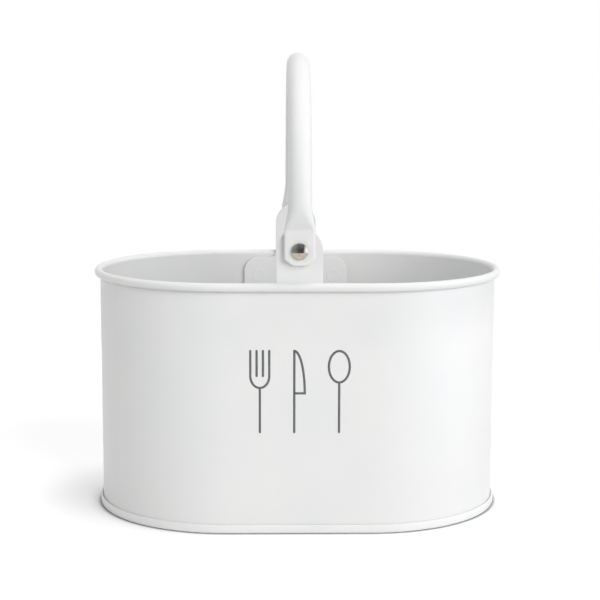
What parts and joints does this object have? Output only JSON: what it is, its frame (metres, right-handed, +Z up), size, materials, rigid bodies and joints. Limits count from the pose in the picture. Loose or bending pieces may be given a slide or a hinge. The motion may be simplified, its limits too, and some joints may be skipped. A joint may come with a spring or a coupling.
{
  "type": "cutlery caddy",
  "caption": "Obround sheet-metal cutlery caddy with a rolled rim, a seamed base and a bent-tube cross handle that swings on two domed rivets.",
  "frame": {"origin": "middle of the underside, on the surface that the tub stands on", "axes": "+Z up; +X along the tub's length, to the right in the picture; -Y to the front, towards the viewer; the handle's rivets lie on a line along Y"},
  "size_m": [0.2568, 0.1808, 0.2852],
  "materials": {
    "white_coat": "white powder coat, satin",
    "nickel": "nickel plated, polished",
    "zinc": "zinc plated"
  },
  "bodies": {
    "tub": {"body_wall": "white_coat", "base_pan": "white_coat", "front_bracket": "white_coat", "rear_bracket": "white_coat", "front_rivet": "nickel", "rear_rivet": "nickel", "front_washer": "zinc", "rear_washer": "zinc", "front_burr": "nickel", "rear_burr": "nickel"},
    "handle": {"handle": "white_coat"}
  },
  "joints": [
    {"name": "handle_swing", "type": "hinge", "parent": "tub", "child": "handle", "pos_m": [0, 0, 0.1704], "axis": [0, 1, 0], "range_deg": [-103, 103]}
  ]
}
